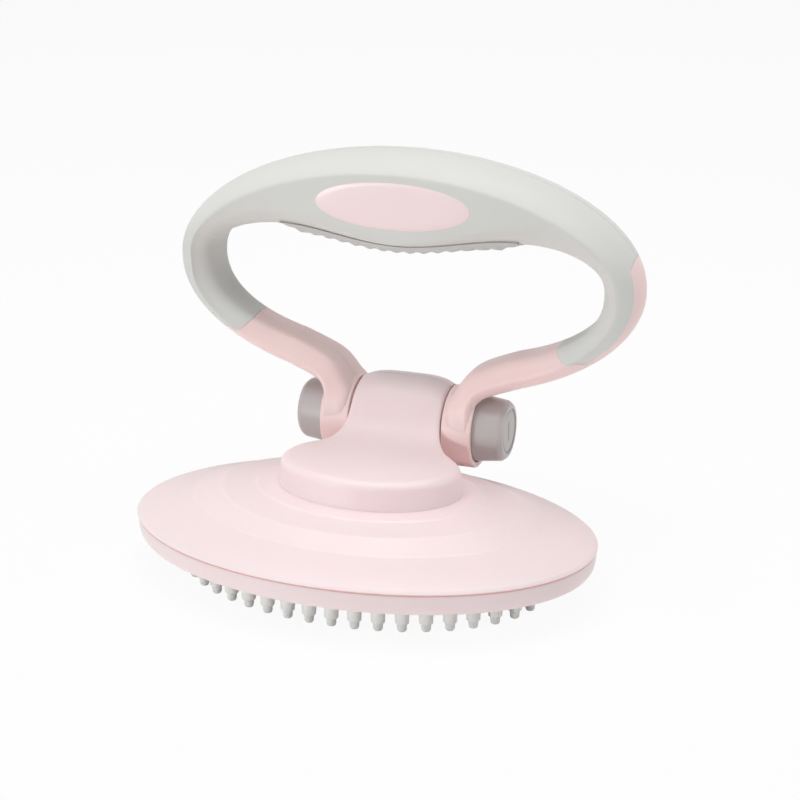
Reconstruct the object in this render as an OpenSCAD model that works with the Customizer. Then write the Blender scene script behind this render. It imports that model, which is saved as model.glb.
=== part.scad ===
// Scalp massager brush: an oval head of soft pins, a neck at its rear and a tilting loop handle
// locked by a push button at each end of the hinge. Millimetres, +Z up, +X to the right along the
// hinge, +Y to the rear. The origin is under the middle of the head, on the plane of the pin tips.

/* [Head] */
// Length of the head at its parting line
head_l = 126; // [122:1:130]
// Depth of the head at its parting line
head_d = 81; // [79:1:84]
// Height of the parting line above the pin tips
seam_z = 14.5; // [14:0.1:15.5]
// Height of the flat top of the dome above the parting line
dome_h = 8.9; // [8.5:0.1:9.2]
// Wall of the moulded shells
wall = 2.2; // [2:0.1:2.4]

/* [Pins] */
// Spacing of the pins along and between their oval rings
pin_pitch = 6.2; // [6:0.1:7]
// Diameter of a pin at its root
pin_root_d = 4; // [3.6:0.1:4.2]
// Diameter of a pin below its shoulder, just above its tip
pin_tip_d = 2.5; // [2.2:0.1:2.8]

/* [Neck] */
// Distance of the hinge axis behind the middle of the head
hinge_y = 35.5; // [35:0.1:36]
// Height of the hinge axis above the pin tips
hinge_z = 32; // [31.8:0.1:33]
// Radius of the hub round the hinge
hub_r = 11.2; // [11:0.1:11.4]
// Width of the hub between the handle's feet
hub_w = 26; // [25.6:0.1:26.4]
// Width of the oval pedestal
pedestal_w = 51; // [50:0.5:53]
// Depth of the oval pedestal
pedestal_d = 34; // [32:0.5:36]
// Height of the pedestal's flat top above the dome
pedestal_h = 7.3; // [6.8:0.1:7.6]

/* [Handle] */
// Width of the loop over its outer crest
loop_w = 132; // [128:0.4:136]
// Height of the loop over its outer crest
loop_h = 68.4; // [67:0.2:70]
// Height of the loop's middle above the hinge axis
loop_rise = 42.6; // [42.2:0.1:43.6]
// Thickness of the loop at its sides
side_t = 9.5; // [9.3:0.1:10]
// Thickness of the arms below the finger gap
arm_t = 10.6; // [10.4:0.1:11]
// Height of the finger gap above the loop's middle
gap_h = 13.4; // [12.8:0.1:14]
// How far the grip swells down into the finger gap
palm_swell = 4; // [3.4:0.1:4.4]
// Half depth of the loop at its sides
side_depth = 9.4; // [9.2:0.1:9.8]
// Half depth of the loop at the top of the grip
grip_depth = 12.4; // [12:0.1:13]
// Thickness of the soft grip
skin_t = 1.4; // [1.2:0.1:1.5]

/* [Buttons] */
// Diameter of a button where it leaves the handle
button_d = 18.6; // [18:0.1:18.8]
// Diameter of a button's end face
button_end_d = 16.6; // [16:0.1:17]
// How far a button stands out of the handle
button_out = 8.2; // [7.6:0.1:8.8]
// Travel of a button
button_travel = 2.5; // [2:0.1:2.6]

/* [Hidden] */
$fn = 64;
fit = 0.05;
gap = 0.3;
pink = "#f0d9d8";
grey = "#c9cac6";
button_grey = "#b4b2b0";
steel = "#b9bcbf";
silicone = "#e6e7e3";

// Head levels and outlines
seam_a = head_l/2;
seam_b = head_d/2;
bulge = 0.3;
dome_z = seam_z + dome_h;
rim_h = 6.2;
rim_wall = 2.6;
rim_z = seam_z - rim_h;
lip_t = 1;
lip_in = 7;
flange_in = 3;
pad_z = rim_z + 0.2;
flange_z = rim_z + lip_t + fit;
flange_t = 1.5;
plate_z = flange_z + flange_t + fit;
plate_t = 2.5;
plate_top = plate_z + plate_t;
tip_flat = 0.5;
pin_step_z = 2;
pin_step = 0.4;
ring_step = pin_pitch + 0.3;
pin_in = 0.6;
pin_end_in = 5;
ring_a = seam_a - lip_in - pin_root_d/2 - pin_end_in;
ring_b = seam_b - lip_in - pin_root_d/2 - pin_in;
ring_count = floor(ring_b/ring_step);
post_r = 2.8;
post_turn = [28, 152, 200, 248, 292, 340];
post_a = seam_a - 14;
post_b = seam_b - 11.5;
screw_r = 1.25;
screw_head_r = 2.3;
screw_head_h = 1.4;
plate_screw_l = 6.2;
neck_screw_l = 9;
handle_screw_l = 11.5;
button_screw_grip = 4;
button_screw_in = 1.6;

// Terrace outlines of the dome: half length, half depth in front and behind, middle and height. They
// are shallower behind, where the feet of the handle turn just above the dome
terrace_a = [0.77, 0.65, 0.5]*seam_a;
terrace_b = [0.815, 0.73, 0.545]*seam_b;
terrace_rear = [0.66, 0.55, 0.47]*seam_b;
terrace_y = [4.5, 6, 6.3];
terrace_z = [0.56, 0.84, 0.97]*dome_h;
riser = 0.35;
riser_out = 0.6;

// Neck
foot_y = 6;
pedestal_z = dome_z + pedestal_h;
pedestal_round = 1.6;
ramp_r = 13.5;
ramp_dy = sqrt(pow(hub_r + ramp_r, 2) - pow(pedestal_z + ramp_r - hinge_z, 2));
column_front = 10;
column_back = hinge_y + 1.5;
flare = 4.6;
flare_back = hinge_y - 9;
flare_l = 8.6;
flare_front = flare_back - 10;
column_z = plate_top + fit;
slot_gap = 0.15;
barrel_r = hub_r - 1.55;
barrel_wall = 1.4;
flange_r = barrel_r - barrel_wall - fit;
hub_x = hub_w/2;
hub_swell = 1.9;
hub_land = 0.15;
barrel_steps = 10;
flange_x = hub_x - 4.4;
trunnion_r = 6.4;
stem_r = 3.4;
stem_hole_r = stem_r + gap;
washer_t = 0.4;
washer_r = hinge_y - flare_back - gap;
cone_r = flange_r - 1.3;
cone_l = 3;
cone_tip_r = stem_r + 1.2;
neck_post_x = 17;
notch_w = 4.5;
notch_l = 1;
notch_t = 0.7;
notch_z = hinge_z + hub_r + 0.85*hub_swell - notch_t;

// Handle
foot_x = hub_x + 2*fit + washer_t;
foot_out = foot_x + 8.3;
boss_r = hub_r;
web_t = 3.5;
recess_x = foot_x + web_t;
recess_r = button_d/2 + gap;
bearing_r = trunnion_r + fit;
loop_a = loop_w/2;
loop_b = loop_h/2;
gap_a = loop_a - side_t;
gap_b = loop_b - arm_t;
end_turn = -58;
station_step = 6;
gap_power = 2.95;
low_power = 2.2;
swell_half = 0.82*gap_a;
crease_turn = 60;
band_steps = 4;
arm_draft = 1.5;
face_side = 0.37;
face_edge = 0.05;
front_cover_turn = -40;
rear_cover_turn = 17;
step_turn = 0.6;
cavity_in = skin_t + 2;
strip_half = 33.5;
strip_depth = 18;
strip_t = 1.5;
ripple = 0.25;
ripple_pitch = 3.9;
strip_step = 0.65;
badge_a = 21.4;
badge_b = 6.5;
badge_rise = 63.7;
badge_proud = 0.35;
handle_screw_turn = [-26, 58];
handle_post_r = 2.3;
handle_post_reach = [-gap, gap];
handle_tube_r = 3.2;
handle_hole_in = 6;
parting_gap = 0.04;

// Buttons
button_in = 1.6;
button_x = foot_out + button_out;
cap_wall = 1.9;
cap_end = 2.4;
rim_round = 0.9;
ring_groove_r = 5.9;
disc_t = 1.5;
clutch_gap = 0.5;
cone_x = flange_x - clutch_gap;
disc_x = cone_x - disc_t;
web_half = 0.75;
wire_d = 0.7;
spring_turns = 3;
spring_r = 5;

// Points round an oval at a height; its rear half may be shallower than its front half
function oval(a, b, y, z, rear, n = 64) = [
  for (i = [0:n - 1])
    let (turn = 360*i/n)
    [a*cos(turn), y + (turn < 180 ? rear : b)*sin(turn), z]
];

// Length round an ellipse against turn, in small straight steps
arc_steps = 180;
function arc_step(a, b, i) = norm([
  a*(cos(360*(i + 1)/arc_steps) - cos(360*i/arc_steps)),
  b*(sin(360*(i + 1)/arc_steps) - sin(360*i/arc_steps)),
]);
function arc_table(a, b) = [
  for (i = 0, length = 0; i <= arc_steps; length = length + arc_step(a, b, i), i = i + 1)
    [length, 360*i/arc_steps]
];

// Closed solid through rings of equally many points, flat at both ends. A second skin that lies against a
// first one splits its quads the other way, so that the two stay parallel
module skin(rings, other_way = false) {
  n = len(rings[0]);
  m = len(rings);
  points = [for (ring = rings) each ring];
  sides = [
    for (i = [0:m - 2], j = [0:n - 1])
      let (k = (j + 1) % n, a = i*n + j, b = i*n + k, c = a + n, d = b + n)
      each (other_way ? [[a, c, b], [b, c, d]] : [[a, c, d], [a, d, b]])
  ];
  first = [for (j = [0:n - 1]) j];
  last = [for (j = [n - 1:-1:0]) (m - 1)*n + j];
  polyhedron(points, concat(sides, [first, last]), convexity = 8);
}

// Upright oval disc between two heights
module oval_disc(a, b, z0, z1, y = 0) {
  translate([0, y, z0])
    scale([1, b/a, 1])
    cylinder(r = a, h = z1 - z0, $fn = 128);
}

// Screw along +Z with its head at the bottom
module screw(length) {
  cylinder(r = screw_head_r, h = screw_head_h);
  cylinder(r = screw_r, h = length);
}

// Places children with +Z turned to the right along the hinge, or to the left
module on_hinge(side) {
  translate([0, hinge_y, hinge_z])
    rotate([0, side*90, 0])
    children();
}

// Solid of revolution round the hinge from radius and distance pairs
module hinge_turned(side, profile) {
  on_hinge(side)
    rotate_extrude()
    polygon(profile);
}

// One soft pin with a shoulder, and with a round tip cut flat where it stands
module pin() {
  tip_r = pin_tip_d/2;
  lift = tip_r - tip_flat;
  flat_r = sqrt(tip_r*tip_r - lift*lift);
  rotate_extrude($fn = 24)
    difference() {
      union() {
        translate([0, lift])
          circle(r = tip_r, $fn = 24);
        polygon([
          [0, lift], [tip_r, lift], [tip_r, pin_step_z], [pin_root_d/2 - pin_step/2, pin_step_z + pin_step],
          [pin_root_d/2, pad_z + 0.4], [0, pad_z + 0.4],
        ]);
      }
      translate([-tip_r, -tip_r])
        square([2*tip_r, tip_r]);
      translate([-tip_r, -tip_r])
        square([tip_r, pad_z + 2*tip_r]);
    }
}

module bristle_pad() {
  color(silicone) {
    oval_disc(seam_a - flange_in, seam_b - flange_in, flange_z, flange_z + flange_t);
    oval_disc(seam_a - lip_in - gap, seam_b - lip_in - gap, pad_z, flange_z + flange_t/2);
    for (ring = [0:ring_count - 1]) {
      a = ring_a - ring*ring_step;
      b = ring_b - ring*ring_step;
      table = arc_table(a, b);
      round_length = table[arc_steps][0];
      count = 2*round(round_length/pin_pitch/2);
      for (i = [0:count - 1]) {
        turn = lookup(round_length*(i + (ring % 2)/2)/count, table);
        translate([a*cos(turn), b*sin(turn), 0])
          pin();
      }
    }
    inner = ring_a - ring_count*ring_step;
    row = floor(inner/pin_pitch);
    for (i = [-row:row])
      translate([i*pin_pitch, 0, 0])
        pin();
  }
}

// Rim: outer wall that turns in below, with an inner lip that holds the pad's flange
module rim_ring() {
  k = seam_b/seam_a;
  color(pink)
    difference() {
      scale([1, k, 1])
        rotate_extrude($fn = 128)
        polygon([
          [seam_a - lip_in, rim_z], [seam_a - 3.4, rim_z], [seam_a - 2, rim_z + 0.5],
          [seam_a - 0.9, rim_z + 1.6], [seam_a - 0.3, rim_z + 3.2], [seam_a, seam_z],
          [seam_a - rim_wall, seam_z], [seam_a - rim_wall, rim_z + lip_t], [seam_a - lip_in, rim_z + lip_t],
        ]);
      oval_disc(seam_a - lip_in, seam_b - lip_in, rim_z - 1, rim_z + lip_t + 1);
      oval_disc(seam_a - rim_wall, seam_b - rim_wall, rim_z + lip_t, seam_z + 1);
    }
}

// Stiff plate that carries the pad, with sunk holes for the screws into the dome and into the neck
module backing_plate() {
  color("#e9dfdd")
    difference() {
      oval_disc(seam_a - flange_in, seam_b - flange_in, plate_z, plate_top);
      post_places() {
        translate([0, 0, plate_z - 1])
          cylinder(r = screw_r + 0.15, h = plate_t + 2);
        translate([0, 0, plate_z - 1])
          cylinder(r = screw_head_r + 0.3, h = screw_head_h + 1.1);
      }
      neck_post_places() {
        translate([0, 0, plate_z - 1])
          cylinder(r = screw_r + 0.15, h = plate_t + 2);
        translate([0, 0, plate_z - 1])
          cylinder(r = screw_head_r + 0.3, h = screw_head_h + 1.1);
      }
    }
}

module post_places() {
  for (turn = post_turn)
    translate([post_a*cos(turn), post_b*sin(turn), 0])
      children();
}

module neck_post_places() {
  for (side = [-1, 1])
    translate([side*neck_post_x, foot_y, 0])
      children();
}

module plate_screws() {
  color(steel)
    post_places()
    translate([0, 0, plate_z + fit])
    screw(plate_screw_l);
}

module neck_screws() {
  color(steel)
    neck_post_places()
    translate([0, 0, plate_z + fit])
    screw(neck_screw_l);
}

// Ring of the dome shell; drop lowers it and draws it in for the inside of the wall
function dome_ring(a, b, y, z, rear, drop) = oval(a - drop, b - drop, y, z - drop*0.9, rear - drop);

// Two rings at the foot and at the top of a terrace's low step
function terrace_rings(i, drop) = [
  for (side = [1, 0])
    dome_ring(
      terrace_a[i] + riser_out*side, terrace_b[i] + riser_out*side, terrace_y[i],
      seam_z + terrace_z[i] - riser*side, terrace_rear[i] + riser_out*side, drop)
];

// Ring of the dome's edge above the parting line; inside the wall it stays close to that line
function edge_ring(out, rise, drop) =
  let (grow = out - drop)
  oval(seam_a + grow, seam_b + grow, 0, seam_z + rise*(drop > 0 ? 0.2 : 1), seam_b + grow);

function dome_rings(drop) = [
  edge_ring(0, 0, drop),
  edge_ring(bulge, 0.5, drop),
  edge_ring(-0.5, 1.3, drop),
  dome_ring(seam_a - 4, seam_b - 2.8, 0.8, seam_z + 2.6, seam_b - 2.8, drop),
  each terrace_rings(0, drop),
  each terrace_rings(1, drop),
  each terrace_rings(2, drop),
  dome_ring(pedestal_w/2, pedestal_d/2, foot_y, dome_z, pedestal_d/2, drop),
];

// Half width of the neck at a distance behind the middle of the head: it widens towards the pedestal
function neck_half(y) = hub_x + flare*pow(max(0, flare_back - y)/flare_l, 2);

module neck_plan(grow = 0) {
  steps = 8;
  ys = [for (i = [0:steps]) flare_back + (flare_front - flare_back)*i/steps];
  side = concat(
    [[hub_x + grow, column_back + grow]],
    [for (y = ys) [neck_half(y) + grow, y]],
    [[hub_x, column_front]]
  );
  polygon(concat(side, [for (i = [len(side) - 1:-1:0]) [-side[i][0], side[i][1]]]));
}

// Outline of the neck where it passes through the dome
module neck_outline(grow) {
  translate([0, foot_y])
    scale([1, (pedestal_d/2 + grow)/(pedestal_w/2 + grow)])
    circle(r = pedestal_w/2 + grow, $fn = 128);
  neck_plan(grow);
}

module dome_cover() {
  outer = dome_rings(0);
  inner = dome_rings(wall);
  count = len(outer);
  bowl = concat([for (i = [count - 1:-1:0]) inner[i]], outer);
  color(pink)
    difference() {
      union() {
        skin(bowl);
        post_places()
          translate([0, 0, plate_top + fit])
          cylinder(r = post_r, h = seam_z + 3.4 - plate_top);
      }
      post_places()
        translate([0, 0, plate_top - 1])
        cylinder(r = screw_r + fit, h = 4.8);
      translate([0, 0, plate_top - 1])
        linear_extrude(pedestal_z)
        neck_outline(slot_gap);
    }
}

// Side profile of the neck: hub round the hinge, ramp down to the pedestal and column into the head
module neck_profile() {
  ramp_y = hinge_y - ramp_dy;
  lift = pedestal_z + ramp_r - hinge_z;
  share = hub_r/(hub_r + ramp_r);
  difference() {
    union() {
      translate([hinge_y, hinge_z])
        circle(r = hub_r, $fn = 96);
      polygon([
        [column_front, column_z], [column_back, column_z], [column_back, dome_z - 4],
        [hinge_y + hub_r*cos(35), hinge_z - hub_r*sin(35)], [hinge_y, hinge_z],
        [hinge_y - share*ramp_dy, hinge_z + share*lift],
        [ramp_y, pedestal_z + ramp_r], [ramp_y, pedestal_z], [column_front, pedestal_z],
      ]);
    }
    translate([ramp_y, pedestal_z + ramp_r])
      circle(r = ramp_r, $fn = 128);
  }
}

module neck_slab(x0, x1) {
  translate([x0, 0, 0])
    rotate([90, 0, 90])
    linear_extrude(x1 - x0)
    children();
}

// Oval pedestal with a round upper edge
module pedestal() {
  a = pedestal_w/2;
  translate([0, foot_y, 0])
    scale([1, pedestal_d/pedestal_w, 1])
    rotate_extrude($fn = 128)
    polygon([
      [0, column_z], [a, column_z], [a, dome_z], [a - 0.6, pedestal_z - pedestal_round],
      [a - 1, pedestal_z - 0.45*pedestal_round], [a - 1.7, pedestal_z - 0.12*pedestal_round],
      [a - 2.8, pedestal_z], [0, pedestal_z],
    ]);
}

// The hub swells in the middle of its width; its ends start a little inside its round
module hub_barrel() {
  end = hub_x - 0.04;
  on_hinge(1)
    rotate_extrude($fn = 96)
    polygon(concat(
      [[0, -end]],
      [for (i = [-barrel_steps:barrel_steps])
        let (share = i/barrel_steps)
        [hub_r - hub_land + (hub_swell + hub_land)*(1 - pow(share, 4)), end*share]],
      [[0, end]]
    ));
}

// Solid neck with its pedestal, before it is parted and hollowed
module neck_solid() {
  pedestal();
  hub_barrel();
  intersection() {
    neck_slab(-pedestal_w/2, pedestal_w/2)
      neck_profile();
    linear_extrude(hinge_z + 2*hub_r)
      neck_plan();
  }
}

// Room inside the neck: the barrel's seat, the hinge bores and the hollow of the pedestal
module neck_room() {
  on_hinge(1)
    translate([0, 0, -hub_x - 1])
    cylinder(r = barrel_r + fit, h = hub_w + 2, $fn = 96);
  difference() {
    oval_disc(pedestal_w/2 - 2.6, pedestal_d/2 - 2.6, column_z - 1, pedestal_z - 2.2, foot_y);
    neck_post_places()
      translate([0, 0, column_z - 2])
      cylinder(r = post_r, h = 20);
  }
  neck_post_places()
    translate([0, 0, column_z - 1])
    cylinder(r = screw_r + fit, h = 8);
}

module neck_hood() {
  color(pink)
    difference() {
      neck_solid();
      neck_room();
      translate([-hub_w, hinge_y - fit/2, 0])
        cube([2*hub_w, 40, 80]);
      for (side = [-1, 1])
        translate([side*hub_x/2 - notch_w/2, hinge_y - notch_l, notch_z])
        cube([notch_w, 2*notch_l, 2]);
    }
}

// Rear half of the hub, held by two tongues that snap into the notches of the hood
module neck_rear_cover() {
  color(pink) {
    difference() {
      union() {
        neck_slab(-hub_x, hub_x)
          neck_profile();
        hub_barrel();
      }
      neck_room();
      translate([-hub_w, hinge_y - 100 + fit/2, 0])
        cube([2*hub_w, 100, 80]);
    }
    for (side = [-1, 1])
      translate([side*hub_x/2 - notch_w/2, hinge_y - notch_l, notch_z])
      translate([slot_gap, slot_gap, fit])
      cube([notch_w - 2*slot_gap, 2*notch_l, notch_t/2]);
  }
}

// Tube inside the hub with a web in its middle that both return springs bear on
module hinge_barrel() {
  inner = barrel_r - barrel_wall;
  end = hub_x - 0.2;
  color("#d8d4d2")
    on_hinge(1)
    difference() {
      translate([0, 0, -end])
        cylinder(r = barrel_r, h = 2*end, $fn = 96);
      for (side = [0, 180])
        rotate([side, 0, 0])
        translate([0, 0, web_half])
        cylinder(r = inner, h = end, $fn = 96);
    }
}

// Hollow trunnion that the handle turns on; the cone inside its flange is the seat of the clutch
module trunnion(side) {
  end = recess_x + 0.4;
  color("#d8d4d2")
    hinge_turned(side, [
      [flange_r, flange_x], [cone_r, flange_x], [cone_tip_r, flange_x + cone_l],
      [stem_hole_r, flange_x + cone_l], [stem_hole_r, end], [trunnion_r, end],
      [trunnion_r, hub_x - 0.4], [flange_r, hub_x - 0.4],
    ]);
}

module trunnion_left() { trunnion(-1); }

module trunnion_right() { trunnion(1); }

module washer(side) {
  x = hub_x + fit;
  color("#f4f1ee")
    hinge_turned(side, [
      [trunnion_r + gap, x], [washer_r, x],
      [washer_r, x + washer_t - fit], [trunnion_r + gap, x + washer_t - fit],
    ]);
}

module washer_left() { washer(-1); }

module washer_right() { washer(1); }

// Upper edge of the finger gap at distance x from the middle, above the hinge axis
function gap_top(x) =
  loop_rise + gap_h*pow(max(0, 1 - pow(abs(x)/gap_a, gap_power)), 1/gap_power)
  - palm_swell*pow(cos(min(90, 90*abs(x)/swell_half)), 2);

// Crest of the loop at a turn, outside and inside, as distance from the middle and height
function crest_out(turn) = [loop_a*cos(turn), loop_rise + loop_b*sin(turn)];
function low_share(v) = sign(v)*pow(abs(v), 2/low_power);
function crest_in(turn) =
  turn > 0 && turn < 180
  ? [gap_a*cos(turn), gap_top(gap_a*cos(turn))]
  : [gap_a*low_share(cos(turn)), loop_rise + gap_b*low_share(sin(turn))];

// Half depth of the loop, and where its front face starts and ends between the two crests
function depth_at(turn) = let (w = sin(turn))
  side_depth + (w > 0 ? (grip_depth - side_depth)*w*(2 - w) : arm_draft*w);
function face_out(turn) = let (w = sin(turn)) face_side + (w > 0 ? 0.44*pow(w, 1.5) : -0.27*w);
function face_in(turn) = face_edge + (sin(turn) > 0 ? 0.27*pow(sin(2*turn), 2) : 0);

// A station: inner crest, outer crest, half depth and the two edges of the front face
function station(turn) = [crest_in(turn), crest_out(turn), depth_at(turn), face_in(turn), face_out(turn)];
function foot(x_in, h_in, x_out, h_out, depth, face) = [
  [foot_x + x_in, h_in], [foot_out + x_out, h_out], depth, 2*face_edge, face
];
arm_knots = [
  foot(0.1, -8, -0.1, -8, 10.6, 0.8),
  foot(0.1, -1, -0.1, -1, 10.6, 0.8),
  foot(0.1, 7.8, -0.1, 3.5, 10.4, 0.75),
  foot(1.9, 11.6, 1.7, 9.2, 9.6, 0.65),
  foot(6.8, 17.4, 4.8, 10.7, 8.8, 0.6),
  station(end_turn),
  station(end_turn + station_step),
];

// Smooth run through four stations, from the second to the third
function between(k, i, t) = (
  2*k[i] + (k[i + 1] - k[i - 1])*t
  + (2*k[i - 1] - 5*k[i] + 4*k[i + 1] - k[i + 2])*t*t
  + (3*k[i] - k[i - 1] - 3*k[i + 1] + k[i + 2])*t*t*t)/2;
arm_steps = 2;
arm_stations = [
  for (i = [1:len(arm_knots) - 3], j = [0:arm_steps - 1]) between(arm_knots, i, j/arm_steps)
];
function mirrored(s) = [[-s[0][0], s[0][1]], [-s[1][0], s[1][1]], s[2], s[3], s[4]];

// Share of the way from the inner to the outer crest, and of the half depth, round the front half
function band(i) = (cos(crease_turn*i/band_steps) - cos(crease_turn))/(1 - cos(crease_turn));
function reach(i) = sin(crease_turn*i/band_steps)/sin(crease_turn);
function half_section(lo, hi) = concat(
  [for (i = [0:band_steps]) [hi + (1 - hi)*band(i), reach(i)]],
  [for (i = [band_steps:-1:0]) [lo - lo*band(i), reach(i)]]
);

// Points of one half of a section, drawn in by inset; face is -1 for the front half, 1 for the rear
function half_points(s, inset, face) =
  let (
    span = s[1] - s[0],
    draw = inset/norm(span),
    deep = (s[2] - inset)*face
  )
  [for (p = half_section(s[3], s[4]))
    let (q = s[0] + span*(draw + p[0]*(1 - 2*draw))) [q[0], hinge_y + p[1]*deep, hinge_z + q[1]]];

function reversed(list) = [for (i = [len(list) - 1:-1:0]) list[i]];

// Closed ring of a half shell between two insets
function shell_ring(s, outer, inner, face) =
  let (ring = concat(half_points(s, outer, face), reversed(half_points(s, inner, face))))
  face < 0 ? reversed(ring) : ring;

// Stations from the right foot over the top to the left foot, with a step where the soft grip ends
function turns(from, to) = let (count = ceil((to - from)/station_step))
  [for (i = [0:count]) from + (to - from)*i/count];

module half_shell(face, cover_turn) {
  low = turns(end_turn, cover_turn);
  covered = turns(cover_turn + step_turn, 180 - cover_turn - step_turn);
  high = turns(180 - cover_turn, 180 - end_turn);
  rings = concat(
    [for (s = arm_stations) shell_ring(s, 0, cavity_in, face)],
    [for (t = low) shell_ring(station(t), 0, cavity_in, face)],
    [for (t = covered) shell_ring(station(t), skin_t, cavity_in, face)],
    [for (t = high) shell_ring(station(t), 0, cavity_in, face)],
    [for (s = reversed(arm_stations)) shell_ring(mirrored(s), 0, cavity_in, face)]
  );
  difference() {
    union() {
      skin(rings);
      handle_posts(face);
    }
    for (side = [-1, 1])
      on_hinge(side)
      translate([0, 0, foot_x - 2])
      cylinder(r = boss_r + fit, h = 30, $fn = 96);
    handle_holes(face);
  }
}

// Round foot of an arm: it turns on the trunnion and holds the button in its outer recess
module hinge_foot(side) {
  edge = 1.2;
  color(pink)
    hinge_turned(side, [
      [bearing_r, foot_x], [boss_r, foot_x], [boss_r, foot_out - edge],
      [boss_r - 0.3*edge, foot_out - 0.3*edge], [boss_r - edge, foot_out],
      [recess_r, foot_out], [recess_r, recess_x], [bearing_r, recess_x],
    ]);
}

module hinge_foot_left() { hinge_foot(-1); }

module hinge_foot_right() { hinge_foot(1); }

// Middle of the loop at a turn, nudged under the middle of its face, where a handle screw stands
function loop_middle(turn) =
  let (share = (1.2 + face_in(turn) + face_out(turn))/4)
  crest_in(turn) + (crest_out(turn) - crest_in(turn))*share;

module at_handle_screws(places = handle_screw_turn) {
  for (turn = places, side = [-1, 1]) {
    p = loop_middle(turn);
    translate([side*p[0], hinge_y, hinge_z + p[1]])
      rotate([90, 0, 0])
      children();
  }
}

// Posts of the handle screws; the slim sides leave less room in front of them than the grip does
module handle_posts(face) {
  for (i = [0:len(handle_screw_turn) - 1]) {
    turn = handle_screw_turn[i];
    reach = face < 0 ? handle_post_reach[i] : gap;
    length = depth_at(turn) - cavity_in + reach;
    at_handle_screws([turn])
      translate([0, 0, face < 0 ? parting_gap : -length])
      cylinder(r = face < 0 ? handle_post_r : handle_tube_r, h = length - parting_gap);
  }
}

module handle_holes(face) {
  at_handle_screws()
    if (face < 0) {
      translate([0, 0, -1])
        cylinder(r = screw_r + fit, h = handle_hole_in + 1);
    } else {
      translate([0, 0, -6])
        cylinder(r = screw_r + 0.15, h = 8);
      translate([0, 0, -30])
        cylinder(r = screw_head_r + 0.2, h = 25);
    }
}

module handle_front_shell() {
  color(pink)
    half_shell(-1, front_cover_turn);
}

module handle_rear_shell() {
  color(pink)
    half_shell(1, rear_cover_turn);
}

module handle_screws() {
  color(steel)
    at_handle_screws()
    translate([0, 0, -5 - screw_head_h - fit])
    screw(handle_screw_l);
}

// Soft cover over one half of the loop, on the same stations as the shell under it
module half_grip(face, cover_turn) {
  start = cover_turn + step_turn;
  skin([for (t = turns(start, 180 - start)) shell_ring(station(t), 0, skin_t - 2*fit, face)], true);
}

module grip_front() {
  color(grey)
    difference() {
      half_grip(-1, front_cover_turn);
      badge_pocket(0.1, hinge_y - grip_depth - 2, hinge_y - side_depth);
    }
}

module grip_rear() {
  color(grey)
    half_grip(1, rear_cover_turn);
}

module badge_pocket(grow, y0, y1) {
  translate([0, y1, hinge_z + badge_rise])
    rotate([90, 0, 0])
    scale([1, (badge_b + grow)/(badge_a + grow), 1])
    cylinder(r = badge_a + grow, h = y1 - y0, $fn = 128);
}

module badge_plate() {
  color("#f0d8da")
    badge_pocket(0, hinge_y - grip_depth - badge_proud, hinge_y - grip_depth + skin_t);
}

// Ribbed strip under the grip: it follows the finger gap, and its ribs come from a cosine
module finger_strip() {
  count = round(2*strip_half/strip_step);
  xs = [for (i = [0:count]) -strip_half + 2*strip_half*i/count];
  top = [for (x = xs) [x, gap_top(x) - 2*fit]];
  rib = [for (x = reversed(xs))
    [x, gap_top(x) - strip_t - ripple*(1 + cos(360*x/ripple_pitch))*min(1, (strip_half - abs(x))/2)]];
  color("#b9bab6")
    translate([0, hinge_y + strip_depth/2, hinge_z])
    rotate([90, 0, 0])
    linear_extrude(strip_depth)
    polygon(concat(top, rib));
}

// Tapered push cap with a round end edge, a ring groove in its face and a plain raised bar
module button(side) {
  r0 = button_d/2;
  r1 = button_end_d/2;
  back = foot_out - button_in;
  inner = r0 - cap_wall;
  roof = button_x - cap_end;
  color(button_grey) {
    hinge_turned(side, [
      [inner, back], [r0, back], [r0, foot_out], [r1, button_x - rim_round],
      [r1 - 0.3*rim_round, button_x - 0.3*rim_round], [r1 - rim_round, button_x],
      [ring_groove_r + 0.35, button_x], [ring_groove_r + 0.35, button_x - 0.4],
      [ring_groove_r - 0.35, button_x - 0.4], [ring_groove_r - 0.35, button_x - 0.15],
      [0, button_x - 0.15], [0, roof + button_screw_in + fit], [screw_r + fit, roof + button_screw_in + fit],
      [screw_r + fit, roof], [inner - 0.9, roof], [inner, roof - 2],
    ]);
    on_hinge(side)
      translate([0, 0, button_x - 0.5])
      for (end = [-1, 0, 1])
        if (end == 0)
          translate([-2, -0.7, 0])
          cube([4, 1.4, 0.65]);
        else
          translate([2*end, 0, 0])
          cylinder(r = 0.7, h = 0.65);
  }
}

module button_left() { button(-1); }

module button_right() { button(1); }

// Stem through the trunnion with the clutch cone on its inner end
module plunger(side) {
  roof = button_x - cap_end - fit;
  color("#cfc9c7")
    difference() {
      hinge_turned(side, [
        [0, disc_x], [cone_r, disc_x], [cone_r, cone_x], [cone_tip_r, cone_x + cone_l],
        [stem_r, cone_x + cone_l], [stem_r, roof], [0, roof],
      ]);
      on_hinge(side)
        translate([0, 0, disc_x - 1])
        cylinder(r = screw_r + 0.15, h = roof - disc_x + 2);
      on_hinge(side)
        translate([0, 0, disc_x - 1])
        cylinder(r = screw_head_r + 0.2, h = roof - disc_x - button_screw_grip + 1);
    }
}

module plunger_left() { plunger(-1); }

module plunger_right() { plunger(1); }

// Screw inside the stem that draws the cap onto it
module button_screw(side) {
  color(steel)
    on_hinge(side)
    translate([0, 0, button_x - cap_end - 2*fit - button_screw_grip - screw_head_h])
    screw(screw_head_h + button_screw_grip + button_screw_in);
}

module button_screw_left() { button_screw(-1); }

module button_screw_right() { button_screw(1); }

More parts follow.
